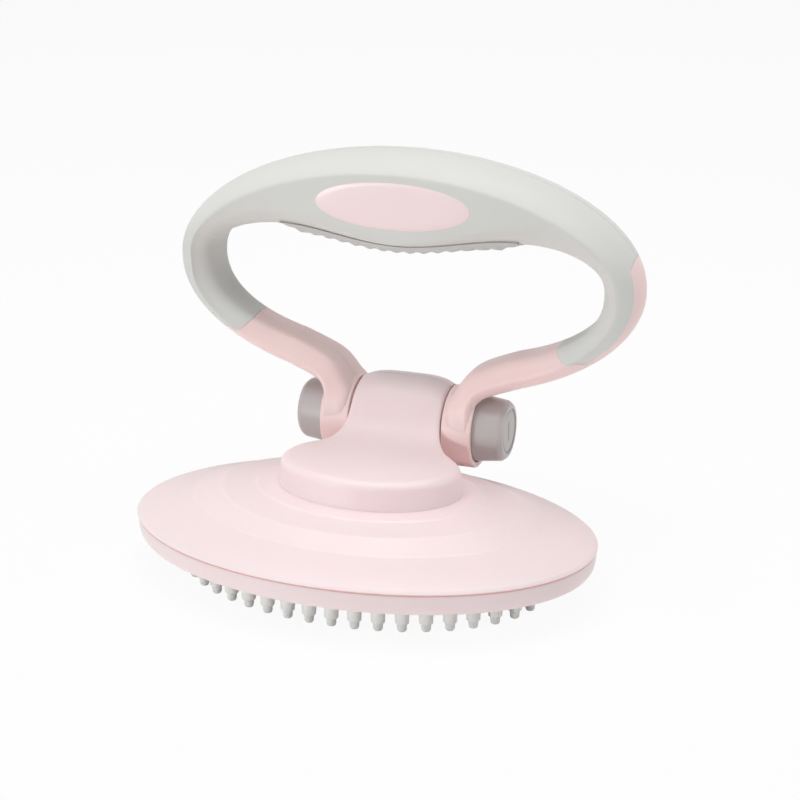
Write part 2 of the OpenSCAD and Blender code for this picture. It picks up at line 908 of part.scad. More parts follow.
// Coil spring between the barrel's web and the clutch disc
module spring(side) {
  x0 = web_half + wire_d/2 + fit;
  x1 = disc_x - wire_d/2 - fit;
  steps = 12*spring_turns;
  rings = [
    for (i = [0:steps])
      let (turn = 360*spring_turns*i/steps, x = x0 + (x1 - x0)*i/steps)
      [for (j = [0:5])
        let (r = spring_r + wire_d/2*cos(60*j))
        [r*cos(turn), r*sin(turn), x + wire_d/2*sin(60*j)]]
  ];
  color(steel)
    on_hinge(side)
    skin(reversed(rings));
}

module spring_left() { spring(-1); }

module spring_right() { spring(1); }

bristle_pad();
rim_ring();
backing_plate();
plate_screws();
dome_cover();
neck_hood();
neck_rear_cover();
neck_screws();
hinge_barrel();
trunnion_left();
trunnion_right();
washer_left();
washer_right();
hinge_foot_left();
hinge_foot_right();
handle_front_shell();
handle_rear_shell();
grip_front();
grip_rear();
finger_strip();
badge_plate();
handle_screws();
button_left();
button_right();
plunger_left();
plunger_right();
spring_left();
spring_right();
button_screw_left();
button_screw_right();
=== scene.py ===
import bmesh
import bpy
import math
import numpy as np
from mathutils import Matrix, Vector


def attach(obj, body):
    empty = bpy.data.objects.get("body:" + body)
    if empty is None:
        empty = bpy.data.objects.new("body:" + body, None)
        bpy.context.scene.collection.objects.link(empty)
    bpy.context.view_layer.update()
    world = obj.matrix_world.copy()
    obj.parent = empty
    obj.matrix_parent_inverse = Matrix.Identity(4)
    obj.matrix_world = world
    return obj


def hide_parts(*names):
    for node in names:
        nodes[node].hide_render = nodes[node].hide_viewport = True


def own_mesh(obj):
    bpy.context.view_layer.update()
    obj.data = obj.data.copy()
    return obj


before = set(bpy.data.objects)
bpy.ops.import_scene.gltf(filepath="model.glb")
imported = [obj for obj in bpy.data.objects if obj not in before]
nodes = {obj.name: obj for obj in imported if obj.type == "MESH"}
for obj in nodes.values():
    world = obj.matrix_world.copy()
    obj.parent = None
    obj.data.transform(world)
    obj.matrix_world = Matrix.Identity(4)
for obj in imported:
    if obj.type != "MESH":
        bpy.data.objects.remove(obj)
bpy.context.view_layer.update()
scene = bpy.context.scene
print("frame loaded,", len(nodes), "nodes")


# Sizes and places are in millimetres and angles in degrees, except where a note says metres; meshFrom turns
# points to metres
hinge = {"y": 35.5, "z": 32.0}
mirror = np.array([-1.0, 1.0, 1.0])  # right to left


def hexColour(code):  # sRGB hex to linear
    value = np.array([int(code[i:i + 2], 16) for i in (1, 3, 5)])/255
    linear = np.where(value <= 0.04045, value/12.92, ((value + 0.055)/1.055)**2.4)
    return (*linear.tolist(), 1.0)


def smoothStep(low, high, value):  # 0 below low, 1 above high, an S curve between them
    t = np.clip((value - low)/(high - low), 0, 1)
    return t*t*(3 - 2*t)


# Quads of a rows by columns grid of points, closed round either way
def gridFaces(rows, cols, loopRows, loopCols):
    i, j = np.meshgrid(np.arange(rows - (not loopRows)), np.arange(cols - (not loopCols)), indexing="ij")
    k, m = (i + 1) % rows, (j + 1) % cols
    return np.stack([i*cols + j, k*cols + j, k*cols + m, i*cols + m], -1).reshape(-1, 4)


# One object from point grids: doubles merged, normals turned out, smooth up to the sharp angle
def meshFrom(name, grids, sharp=32):
    points, faces, count = [], [], 0
    for grid, loopRows, loopCols in grids:
        rows, cols = grid.shape[:2]
        points.append(grid.reshape(-1, 3)/1000)
        faces.append(gridFaces(rows, cols, loopRows, loopCols) + count)
        count += rows*cols
    mesh = bpy.data.meshes.new(name)
    mesh.from_pydata(np.concatenate(points).tolist(), [], np.concatenate(faces).tolist())
    work = bmesh.new()
    work.from_mesh(mesh)
    bmesh.ops.remove_doubles(work, verts=work.verts, dist=2e-6)
    bmesh.ops.recalc_face_normals(work, faces=work.faces)
    work.to_mesh(mesh)
    work.free()
    mesh.polygons.foreach_set("use_smooth", np.ones(len(mesh.polygons), bool))
    mesh.set_sharp_from_angle(angle=math.radians(sharp))
    obj = bpy.data.objects.new(name, mesh)
    scene.collection.objects.link(obj)
    return obj


# Each inner corner of a line of points becomes a quadratic arc that starts and ends its cut away from it
def roundCorners(points, cuts, steps=5):
    points = np.asarray(points, float)
    corner = points[..., 1:-1, :]
    before, after = points[..., :-2, :] - corner, points[..., 2:, :] - corner
    cut = np.asarray(cuts, float)[..., None]
    lengthB = np.linalg.norm(before, axis=-1, keepdims=True) + 1e-9
    lengthA = np.linalg.norm(after, axis=-1, keepdims=True) + 1e-9
    start = corner + before/lengthB*np.minimum(cut, 0.49*lengthB)
    end = corner + after/lengthA*np.minimum(cut, 0.49*lengthA)
    t = np.linspace(0, 1, steps)[:, None]
    arcs = (1 - t)**2*start[..., None, :] + 2*t*(1 - t)*corner[..., None, :] + t**2*end[..., None, :]
    arcs = arcs.reshape(*points.shape[:-2], -1, points.shape[-1])
    return np.concatenate([points[..., :1, :], arcs, points[..., -1:, :]], -2)


# A line of points drawn again at even steps of its length
def evenSteps(points, count):
    length = np.concatenate([[0], np.cumsum(np.linalg.norm(np.diff(points, axis=0), axis=1))])
    at = np.linspace(0, length[-1], count)
    return np.stack([np.interp(at, length, column) for column in points.T], -1)


# Profile of (radius, distance) turned round the hinge's axis, to the right for side 1, to the left for -1
def turnedOnHinge(profile, side, count=96):
    turn = np.linspace(0, 2*np.pi, count, endpoint=False)[:, None]
    radius, along = profile[None, :, 0], profile[None, :, 1]
    y, z = hinge["y"] + radius*np.cos(turn), hinge["z"] + radius*np.sin(turn)
    return np.stack([side*along + 0*turn, y, z], -1)


def addNode(tree, kind, settings={}, values={}, links={}):  # one node with its settings, values and links
    node = tree.nodes.new(kind)
    for name, value in settings.items():
        setattr(node, name, value)
    for name, value in values.items():
        node.inputs[name].default_value = value
    for name, source in links.items():
        tree.links.new(source, node.inputs[name])
    return node


def startMaterial(name, values):  # a principled shader on its output, and Object coordinates for patterns
    material = bpy.data.materials.new(name)
    material.use_nodes = True
    tree = material.node_tree
    tree.nodes.clear()
    shader = addNode(tree, "ShaderNodeBsdfPrincipled", values=values)
    addNode(tree, "ShaderNodeOutputMaterial", links={"Surface": shader.outputs["BSDF"]})
    place = addNode(tree, "ShaderNodeTexCoord").outputs["Object"]
    return material, tree, shader, place


# A moulded polymer: its colour drifts slowly between two tones, its gloss drifts with the flow of the melt,
# and a spark-eroded mould leaves a fine even grain. Sizes in mm
def mouldedMaterial(name, look):
    material, tree, shader, place = startMaterial(name, look.get("shader", {}))
    noise = {}
    for pattern, detail in (("drift", 2.0), ("flow", 3.0), ("grain", 2.0)):
        values = {"Scale": 1000/look[pattern + "Size"], "Detail": detail}
        node = addNode(tree, "ShaderNodeTexNoise", values=values, links={"Vector": place})
        noise[pattern] = node.outputs["Fac"]
    tone = addNode(tree, "ShaderNodeMix", {"data_type": "RGBA"}, links={0: noise["drift"]})
    tone.inputs[6].default_value = hexColour(look["colour"])
    tone.inputs[7].default_value = hexColour(look["tone"])
    tree.links.new(tone.outputs[2], shader.inputs["Base Color"])
    smooth, rough = look["roughness"]
    span = {"From Min": 0.3, "From Max": 0.7, "To Min": smooth, "To Max": rough}
    gloss = addNode(tree, "ShaderNodeMapRange", values=span, links={"Value": noise["flow"]})
    tree.links.new(gloss.outputs["Result"], shader.inputs["Roughness"])
    relief = {"Strength": look["grain"], "Distance": look["grainDepth"]/1000}
    bump = addNode(tree, "ShaderNodeBump", values=relief, links={"Height": noise["grain"]})
    tree.links.new(bump.outputs["Normal"], shader.inputs["Normal"])
    return material


# ABS, injection moulded in a lightly textured mould: satin, pale, with a soft broad highlight
absMould = {"driftSize": 45, "flowSize": 14, "grainSize": 0.9, "grain": 0.10, "grainDepth": 0.02}
absDepth = {"IOR": 1.52, "Subsurface Weight": 0.25, "Subsurface Radius": (1.0, 0.45, 0.4),
            "Subsurface Scale": 0.0025}
pinkAbs = mouldedMaterial("moulded_abs_pink", {
    **absMould, "colour": "#f8e5e6", "tone": "#f6e1e2", "roughness": (0.40, 0.50), "shader": absDepth})
# Painted shade for the seam's gap: a darker, redder pink that stands in for the groove's shadow and its red
# bounce light
seamShadeAbs = mouldedMaterial("painted_seam_shade_pink", {
    **absMould, "colour": "#eba9a2", "tone": "#e8a39c", "roughness": (0.40, 0.50), "shader": {"IOR": 1.52}})
# The same ABS in the handle, which has a little more yellow in its pink
armAbs = mouldedMaterial("moulded_abs_blush", {
    **absMould, "colour": "#fce0dd", "tone": "#fadbd9", "roughness": (0.38, 0.48), "shader": absDepth})
# Thermoplastic elastomer moulded over the handle: matt, with a dry grain; the real grain of 0.3 mm is
# drawn at 0.8 mm so that it shows
gripTpe = mouldedMaterial("overmoulded_elastomer_grey", {
    "colour": "#dedfdb", "tone": "#d9dad6", "driftSize": 60, "roughness": (0.56, 0.68), "flowSize": 20,
    "grainSize": 0.8, "grain": 0.22, "grainDepth": 0.03, "shader": {"IOR": 1.48}})
# Softer elastomer of the finger strip, a little darker where the fingers rub
stripTpe = mouldedMaterial("ribbed_elastomer_grey", {
    "colour": "#d2d1ce", "tone": "#c8c7c4", "driftSize": 18, "roughness": (0.55, 0.66), "flowSize": 9,
    "grainSize": 0.8, "grain": 0.2, "grainDepth": 0.03, "shader": {"IOR": 1.48}})
# Liquid silicone rubber, moulded: milky, light passes a few mm into the pins
pinSilicone = mouldedMaterial("moulded_silicone_milky", {
    "colour": "#fafaf7", "tone": "#f5f6f1", "driftSize": 30, "roughness": (0.34, 0.46), "flowSize": 10,
    "grainSize": 0.8, "grain": 0.08, "grainDepth": 0.02,
    "shader": {"IOR": 1.41, "Subsurface Weight": 0.3, "Subsurface Radius": (1.0, 1.0, 0.95),
               "Subsurface Scale": 0.0015}})
# Satin polycarbonate inlay: smoother and glossier than the grip round it
inlayPc = mouldedMaterial("satin_inlay_pink", {
    "colour": "#fae6e6", "tone": "#f8e1e2", "driftSize": 24, "roughness": (0.30, 0.36), "flowSize": 16,
    "grainSize": 1.4, "grain": 0.03, "grainDepth": 0.02, "shader": {"IOR": 1.52}})
# Acetal buttons, moulded and slightly waxy
buttonPom = mouldedMaterial("moulded_acetal_grey", {
    "colour": "#c3bebd", "tone": "#bcb8b7", "driftSize": 20, "roughness": (0.30, 0.42), "flowSize": 8,
    "grainSize": 0.8, "grain": 0.08, "grainDepth": 0.02, "shader": {"IOR": 1.48}})
# Inside mouldings that nobody polishes: a duller pale ABS and a nylon for the bearings
innerAbs = mouldedMaterial("moulded_abs_inner", {
    "colour": "#e9dfdd", "tone": "#e2d6d4", "driftSize": 30, "roughness": (0.5, 0.62), "flowSize": 12,
    "grainSize": 0.9, "grain": 0.15, "grainDepth": 0.03})
bearingPa = mouldedMaterial("moulded_nylon_pale", {
    "colour": "#d8d4d2", "tone": "#cec9c6", "driftSize": 20, "roughness": (0.42, 0.55), "flowSize": 8,
    "grainSize": 0.9, "grain": 0.12, "grainDepth": 0.03})
# Zinc-plated steel: bright, with a faint cloudy passivation
zincSteel = mouldedMaterial("zinc_plated_steel", {
    "colour": "#c4c6c9", "tone": "#aeb2b8", "driftSize": 3, "roughness": (0.24, 0.4), "flowSize": 2,
    "grainSize": 0.6, "grain": 0.12, "grainDepth": 0.02, "shader": {"Metallic": 1.0}})
print("materials made")


def finishPiece(obj, material, body, slot, *replaced):  # material, body, slot (not used) and the CAD nodes it stands for
    obj.data.materials.append(material)
    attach(obj, body)
    if replaced:
        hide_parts(*replaced)
    return obj


# Camera, fitted to the photograph: turned to the right of the front and down, then moved back from a point
# beside the middle of the head's seam
cameraSet = {"turn": 19.35, "tilt": 20.0, "distance": 481.0, "right": 9.95, "up": 33.05, "middle": 14.5,
             "focalPixels": 1810, "pictureWidth": 800, "sensor": 36, "nearMetres": 0.01, "farMetres": 20}
turn, tilt = math.radians(cameraSet["turn"]), math.radians(cameraSet["tilt"])
cosTurn, sinTurn, cosTilt, sinTilt = math.cos(turn), math.sin(turn), math.cos(tilt), math.sin(tilt)
viewRight = np.array([cosTurn, sinTurn, 0])
viewUp = np.array([-sinTilt*sinTurn, sinTilt*cosTurn, cosTilt])
viewBack = np.array([sinTurn*cosTilt, -cosTurn*cosTilt, sinTilt])
eye = np.array([0, 0, cameraSet["middle"]]) + cameraSet["right"]*viewRight + cameraSet["up"]*viewUp \
    + cameraSet["distance"]*viewBack
lens = bpy.data.cameras.new("photo_view")
lens.sensor_width = cameraSet["sensor"]
lens.lens = cameraSet["focalPixels"]/cameraSet["pictureWidth"]*cameraSet["sensor"]
lens.clip_start, lens.clip_end = cameraSet["nearMetres"], cameraSet["farMetres"]
camera = bpy.data.objects.new("photo_view", lens)
scene.collection.objects.link(camera)
matrix = np.eye(4)
matrix[:3, 0], matrix[:3, 1], matrix[:3, 2], matrix[:3, 3] = viewRight, viewUp, viewBack, eye/1000
camera.matrix_world = Matrix(matrix.tolist())
scene.camera = camera


headSides = 240  # points round each ring of dome, rim and seam


# Head: every ring is an oval of half length a, half depth b in front and rear behind, about y at height z
def ovalRings(rings, count=headSides):
    turn = np.linspace(0, 2*np.pi, count, endpoint=False)[:, None]
    a, b, rear, y, z = (rings[None, :, i] for i in range(5))
    depth = np.where(np.sin(turn) > 0, rear, b)
    return np.stack([a*np.cos(turn), y + depth*np.sin(turn), z + 0*turn], -1)


dome = {
    "a": 63.0, "b": 40.5, "seamZ": 14.5, "lineZ": 14.78, "seamDeep": 0.7,
    "edge": [(0.0, 14.78), (0.3, 15.1), (-0.5, 15.8)],
    "shoulder": [(59.0, 37.7, 37.7, 0.8, 17.1)],
    "terraces": [(48.5, 33.0, 26.7, 4.5, 19.48), (41.0, 29.6, 22.3, 6.0, 21.98),
                 (31.5, 22.1, 19.0, 6.3, 23.13)],
    "stepHeight": 0.34, "stepWidth": 0.5, "edgeRounds": [0.05, 0.15, 0.2, 0.4, 6.0], "stepRound": 0.4,
    "topRound": 0.05,
    "top": [(25.0, 15.5, 15.5, 6, 23.4), (25.0, 15.5, 15.5, 6, 21.2)],
    "inside": [(23.0, 13.5, 13.5, 6, 21.2), (38.8, 27.4, 20.1, 6, 20.0), (56.8, 35.5, 35.5, 0.8, 15.2),
               (60.6, 38.1, 38.1, 0, 14.5)],
}


def seamRing(out, z):  # the seam's oval grown by out, at height z
    return dome["a"] + out, dome["b"] + out, dome["b"] + out, 0*out, z


rows = [seamRing(-dome["seamDeep"], dome["seamZ"]), seamRing(-dome["seamDeep"], dome["lineZ"])]
rows += [seamRing(out, z) for out, z in dome["edge"]] + dome["shoulder"]
for a, b, rear, y, z in dome["terraces"]:
    w = dome["stepWidth"]
    rows += [(a + w, b + w, rear + w, y, z - dome["stepHeight"]), (a, b, rear, y, z)]
rows += dome["top"]
cuts = dome["edgeRounds"] + [dome["stepRound"]]*2*len(dome["terraces"]) + [dome["topRound"]]
outer = roundCorners(ovalRings(np.array(rows, float)), np.array(cuts)[None, :])
inner = ovalRings(np.array(dome["inside"], float))
dressedDome = meshFrom("dome_skin", [(np.concatenate([outer, inner], 1), True, True)], 28)
finishPiece(dressedDome, pinkAbs, "head", "pink_abs", "dome_cover")
print("dome", len(dressedDome.data.polygons), "faces")

# Rim: a profile of (out, height) offsets carried round the seam's oval
rim = {"profile": [(-7.0, 8.3), (-3.2, 8.3), (-1.5, 8.75), (-0.5, 10.0), (-0.1, 12.0), (0.0, 14.5),
                   (-2.6, 14.5), (-2.6, 9.3), (-7.0, 9.3)],
       "rounds": [0.25, 1.2, 1.0, 1.0, 1.0, 0.28, 0.1, 0.1, 0.25]}


def roundedLoop(piece):  # a piece's closed profile with every corner rounded by its own cut
    closed = piece["profile"][-1:] + piece["profile"] + piece["profile"][:1]
    return roundCorners(closed, piece["rounds"], 6)[1:-1]


rimRings = np.stack(seamRing(*roundedLoop(rim).T), -1)
obj = meshFrom("rim_skin", [(ovalRings(rimRings), True, True)])
finishPiece(obj, pinkAbs, "head", "pink_abs", "rim_ring")

# A fine ring in the parting gap, coloured with painted shade: its darker red pink stands in for the groove's
# shadow and red bounce light
seamShadeRing = {"profile": [(-0.5, 14.4), (-0.12, 14.4), (-0.12, 14.8), (-0.5, 14.8)]}
seamShadeRings = np.stack(seamRing(*np.array(seamShadeRing["profile"]).T), -1)
obj = meshFrom("seam_shade_line", [(ovalRings(seamShadeRings), True, True)])
finishPiece(obj, seamShadeAbs, "head", "pink_abs")

# Pad: a flat oval with pins on rings at even steps of arc; a pin is a taper with a filleted root, a shoulder
# and a round tip
pad = {"a": 55.7, "b": 33.2, "z": 8.5, "top": 10.85, "edge": 0.4, "pitch": 6.2, "ringStep": 6.5,
       "ringA": 49.0, "ringB": 30.9, "ringCount": 4, "rootRadius": 2.0, "rootFillet": 0.6, "rootSunk": 0.1,
       "draft": 0.15, "tipRadius": 1.25, "shoulder": 2.0, "shoulderRise": 0.5, "shoulderStep": 0.08,
       "sides": 10, "tipLine": [(1.0, 0.7), (0.8, 0.2), (0.5, 0.0), (0.0, 0.0)]}


def pinPlaces():  # even steps of arc on each oval, every other oval half a step on, and a row in the middle
    places = []
    for ring in range(pad["ringCount"]):
        a, b = pad["ringA"] - ring*pad["ringStep"], pad["ringB"] - ring*pad["ringStep"]
        turn = np.linspace(0, 2*np.pi, 721)
        line = np.stack([a*np.cos(turn), b*np.sin(turn)], -1)
        length = np.concatenate([[0], np.cumsum(np.linalg.norm(np.diff(line, axis=0), axis=1))])
        count = 2*round(length[-1]/pad["pitch"]/2)
        at = np.interp(length[-1]*(np.arange(count) + (ring % 2)/2)/count, length, turn)
        places.append(np.stack([a*np.cos(at), b*np.sin(at)], -1))
    row = math.floor((pad["ringA"] - pad["ringCount"]*pad["ringStep"])/pad["pitch"])
    places.append(np.stack([np.arange(-row, row + 1)*pad["pitch"], np.zeros(2*row + 1)], -1))
    return np.concatenate(places)


places = pinPlaces()
tip, root = pad["tipRadius"], pad["rootRadius"]
pinLine = [(root + pad["rootFillet"], pad["z"] + pad["rootSunk"]), (root, pad["z"] - pad["rootFillet"]),
           (root - pad["draft"], pad["shoulder"] + pad["shoulderRise"]),
           (tip + pad["shoulderStep"], pad["shoulder"])]
pinLine = np.array(pinLine + [(share*tip, z) for share, z in pad["tipLine"]])
turn = np.linspace(0, 2*np.pi, pad["sides"], endpoint=False)
onePin = np.stack([pinLine[:, :1]*np.cos(turn), pinLine[:, :1]*np.sin(turn), pinLine[:, 1:] + 0*turn], -1)
pins = onePin[None] + np.concatenate([places, np.zeros((len(places), 1))], 1)[:, None, None, :]
a, b, e = pad["a"], pad["b"], pad["edge"]
sheet = np.array([(0, 0, 0, 0, pad["z"]), (a - e, b - e, b - e, 0, pad["z"]), (a, b, b, 0, pad["z"] + e),
                  (a, b, b, 0, pad["top"]), (0, 0, 0, 0, pad["top"])], float)
grids = [(ovalRings(sheet, 160), True, False)] + [(pin, False, True) for pin in pins]
dressedPad = meshFrom("pin_pad", grids, 40)
finishPiece(dressedPad, pinSilicone, "head", "pin_silicone", "bristle_pad")
print("pad with", len(places), "pins,", len(dressedPad.data.polygons), "faces")

# Hood: the side outline of hub and ramp carried across the plan outline of neck and pedestal, with a round
# edge
hood = {"seamY": 35.47, "hubHalf": 13.0, "hubRadius": 11.2, "hubEdge": 0.9, "ovalA": 24.9, "ovalB": 16.4,
        "ovalY": 6.0, "topZ": 30.7, "pedestalEdge": 2.4, "taper": 0.7, "footZ": 23.3, "rampRadius": 13.5,
        "bottomZ": 15.0, "flare": 4.6, "flareBack": 26.5, "flareLength": 8.6, "join": 18.2, "swell": 1.9,
        "swellFrom": 21.5, "swellFull": 2, "edgeFrom": 17.5, "edgeTo": 27.0, "spineFront": 2, "easing": 10,
        "seamWidth": 0.3, "seamDrop": 0.25, "seamAbove": 20}


# Hub circle, then the ramp's circle that touches it, then the flat of the pedestal; the hub swells in its
# middle by one less the fourth power of its width
def hoodHeight(x, y):
    lift = hood["topZ"] + hood["rampRadius"] - hinge["z"]
    reach = math.sqrt((hood["hubRadius"] + hood["rampRadius"])**2 - lift**2)
    rampY = hinge["y"] - reach
    touch = hinge["y"] - reach*hood["hubRadius"]/(hood["hubRadius"] + hood["rampRadius"])
    hub = hinge["z"] + np.sqrt(np.maximum(0, hood["hubRadius"]**2 - (y - hinge["y"])**2))
    ramp = hood["topZ"] + hood["rampRadius"] - np.sqrt(np.maximum(0, hood["rampRadius"]**2 - (y - rampY)**2))
    swell = hood["swell"]*np.maximum(0, 1 - (np.abs(x)/hood["hubHalf"])**4)
    swell = swell*smoothStep(hood["swellFrom"], hood["seamY"] - hood["swellFull"], y)
    return np.where(y >= touch, hub, np.where(y > rampY, ramp, hood["topZ"])) + swell


# Right half of the plan: the hub's straight side, a parabola that flares out of it, then the pedestal's oval
def hoodOutline(count):
    y = np.linspace(hood["seamY"], hood["join"], 60)
    x = hood["hubHalf"] + hood["flare"]*(np.maximum(0, hood["flareBack"] - y)/hood["flareLength"])**2
    start = math.asin((hood["join"] - hood["ovalY"])/hood["ovalB"])
    turn = np.linspace(start, -np.pi/2, 90)[1:]
    oval = np.stack([hood["ovalA"]*np.cos(turn), hood["ovalY"] + hood["ovalB"]*np.sin(turn)], -1)
    line = evenSteps(np.concatenate([np.stack([x, y], -1), oval]), count)
    for _ in range(hood["easing"]):  # eases the corner where the flare meets the oval
        line[1:-1] = 0.5*line[1:-1] + 0.25*(line[:-2] + line[2:])
    line[-1, 0] = 0
    return line


# Rows follow the outline; columns run from the spine over the top, round the edge's arc and down the wall
def hoodGrid():
    edge = hoodOutline(130)
    edge = np.concatenate([edge[:1], edge[:1] + [[0, -hood["seamWidth"]]], edge[1:]])
    along = np.gradient(edge, axis=0)
    normal = np.stack([along[:, 1], -along[:, 0]], -1)
    normal /= np.linalg.norm(normal, axis=1, keepdims=True)
    low = 1 - smoothStep(hood["edgeFrom"], hood["edgeTo"], edge[:, 1])
    radius = (hood["hubEdge"] + (hood["pedestalEdge"] - hood["hubEdge"])*low)[:, None]
    spine = np.stack([0*edge[:, 0], np.clip(edge[:, 1], hood["spineFront"], hood["seamY"])], -1)
    share = np.linspace(0, 1, 34)[None, :, None]
    top = spine[:, None, :] + (edge + normal*radius - spine)[:, None, :]*share
    topZ = hoodHeight(top[..., 0], top[..., 1])
    bend = np.radians(np.linspace(0, 90, 9))[None, 1:]
    arc = edge[:, None, :] + normal[:, None, :]*(radius*(1 - np.sin(bend)))[..., None]
    arcZ = hoodHeight(arc[..., 0], arc[..., 1]) - radius*(1 - np.cos(bend))
    wallZ0 = arcZ[:, -1:]
    fall = np.linspace(0, 1, 8)[None, 1:]
    wallZ = wallZ0 + (hood["bottomZ"] - wallZ0)*fall
    out = hood["taper"]*low[:, None]*np.clip((wallZ0 - wallZ)/(wallZ0 - hood["footZ"]), 0, 1)
    wall = edge[:, None, :] - normal[:, None, :]*out[..., None]
    plan = np.concatenate([top, arc, wall, spine[:, None, :]], 1)
    height = np.concatenate([topZ, arcZ, wallZ, np.full((len(edge), 1), hood["bottomZ"])], 1)
    seam = np.clip(1 - (hood["seamY"] - plan[..., 1])/hood["seamWidth"], 0, 1)  # small chamfer at the seam
    height = np.where(height > hood["seamAbove"], height - hood["seamDrop"]*seam, height)
    grid = np.concatenate([plan, height[..., None]], -1)
    return np.concatenate([grid, (grid[::-1]*mirror)[1:]])


whole = hoodGrid()
cap = np.stack([whole[0], whole[-1]])
dressedHood = meshFrom("neck_hood_skin", [(whole, False, False), (cap, False, False)], 40)
finishPiece(dressedHood, pinkAbs, "head", "pink_abs", "neck_hood")
print("hood", len(dressedHood.data.polygons), "faces")

# Handle: stations hold inner crest, outer crest, half depth, the two edges of the front face and the share of
# the depth that its inner edge keeps. At the rear rearFill gives back a share of that lean
loop = {"half": 66.0, "tall": 33.9, "rise": 42.6, "gapHalf": 55.8, "gapLow": 23.6, "gapHigh": 13.0,
        "palmSwell": 4.0, "palmShare": 0.82, "gapPower": 2.95, "lowPower": 2.2, "sideDepth": 9.4,
        "gripDepth": 12.4, "armDraft": 1.5, "faceIn": 0.05, "faceInSwell": 0.27, "faceOut": 0.46,
        "faceOutTop": 0.35, "faceOutLow": 0.17, "crease": 60, "outerStop": 0.95, "innerStop": 0.62,
        "outerRound": 0.5, "innerRound": 3.0, "innerTop": 0.65, "slant": 0.3, "rearFill": 0.4,
        "mostWrap": 0.9, "mostOuter": 0.3, "mostInner": 0.8, "innerFrom": 40, "innerTo": 75, "saddle": 11.05,
        "armTurn": -58, "lastTurn": 30, "parting": 0.2, "lipShare": 0.6}
armKnots = np.array([
    (13.6, -8.0, 21.7, -8.0, 11.15, 0.02, 0.97, 1.0), (13.6, -1.0, 21.7, -1.0, 11.15, 0.02, 0.97, 1.0),
    (13.62, 7.8, 21.69, 3.46, 10.8, 0.06, 0.86, 0.93), (15.4, 11.6, 23.46, 9.15, 9.8, 0.09, 0.68, 0.80),
    (20.29, 17.37, 26.58, 10.74, 8.8, 0.06, 0.60, 0.70)])
# Grey and pink meet on the sides: grey reaches round the inner crest to the rear, pink wraps onto the outer
# band. Rows of the loop are degrees of turn, columns run across the section, and line is the fine gap in rows
division = {"wrap": 6.2, "grey": -40.0, "corner": 4.0, "dip": 0.8, "top": 17.0, "taper": 3.5,
            "taperPower": 2.5, "wrapCol": 5, "rearCol": 27, "line": 0.1, "rearCaps": 0.6, "armRows": 84,
            "sideRows": 60, "topRows": 140, "dipIn": (12, 20), "dipOut": (24, 36), "frontCorner": 17,
            "rearCorner": 8, "tongueEnd": 14}


def gapTop(x):  # upper edge of the finger gap: a flattened arch less a cosine swell for the palm
    arch = np.maximum(0, 1 - (np.abs(x)/loop["gapHalf"])**loop["gapPower"])**(1/loop["gapPower"])
    swell = np.cos(np.minimum(np.pi/2, np.pi/2*np.abs(x)/(loop["palmShare"]*loop["gapHalf"])))**2
    return loop["rise"] + loop["gapHigh"]*arch - loop["palmSwell"]*swell


# An ellipse outside and a squarer oval inside; depth and face follow the sine of the turn
def loopStations(turn):
    s, c = np.sin(np.radians(turn)), np.cos(np.radians(turn))
    up, down = np.maximum(s, 0), np.minimum(s, 0)
    power = 2/loop["lowPower"]
    lowX, lowH = np.sign(c)*np.abs(c)**power, -np.abs(s)**power
    inX = loop["gapHalf"]*np.where(s > 0, c, lowX)
    inH = np.where(s > 0, gapTop(inX), loop["rise"] + loop["gapLow"]*lowH)
    depth = loop["sideDepth"] + (loop["gripDepth"] - loop["sideDepth"])*up*(2 - up) + loop["armDraft"]*down
    faceIn = loop["faceIn"] + loop["faceInSwell"]*np.where(s > 0, np.sin(2*np.radians(turn))**2, 0)
    faceOut = loop["faceOut"] + loop["faceOutTop"]*up**1.5 - loop["faceOutLow"]*down
    keep = 1 - loop["slant"]*(1 - up)
    outX, outH = loop["half"]*c, loop["rise"] + loop["tall"]*s
    return np.stack([inX, inH, outX, outH, depth, faceIn, faceOut, keep], -1)


# A smooth cubic run through the knots of the right arm, then the loop at every degree
def armStations():
    first = loop["armTurn"]
    knots = np.concatenate([armKnots, loopStations(np.array([first, first + 6.0]))])
    t = np.linspace(0, 1, 14, endpoint=False)[None, :, None]
    a, b, c, d = (knots[i:len(knots) - 3 + i, None, :] for i in range(4))
    run = (2*b + (c - a)*t + (2*a - 5*b + 4*c - d)*t**2 + (3*b - a - 3*c + d)*t**3)/2
    return np.concatenate([run.reshape(-1, 8), loopStations(np.arange(first, loop["lastTurn"] + 0.5, 1.0))])


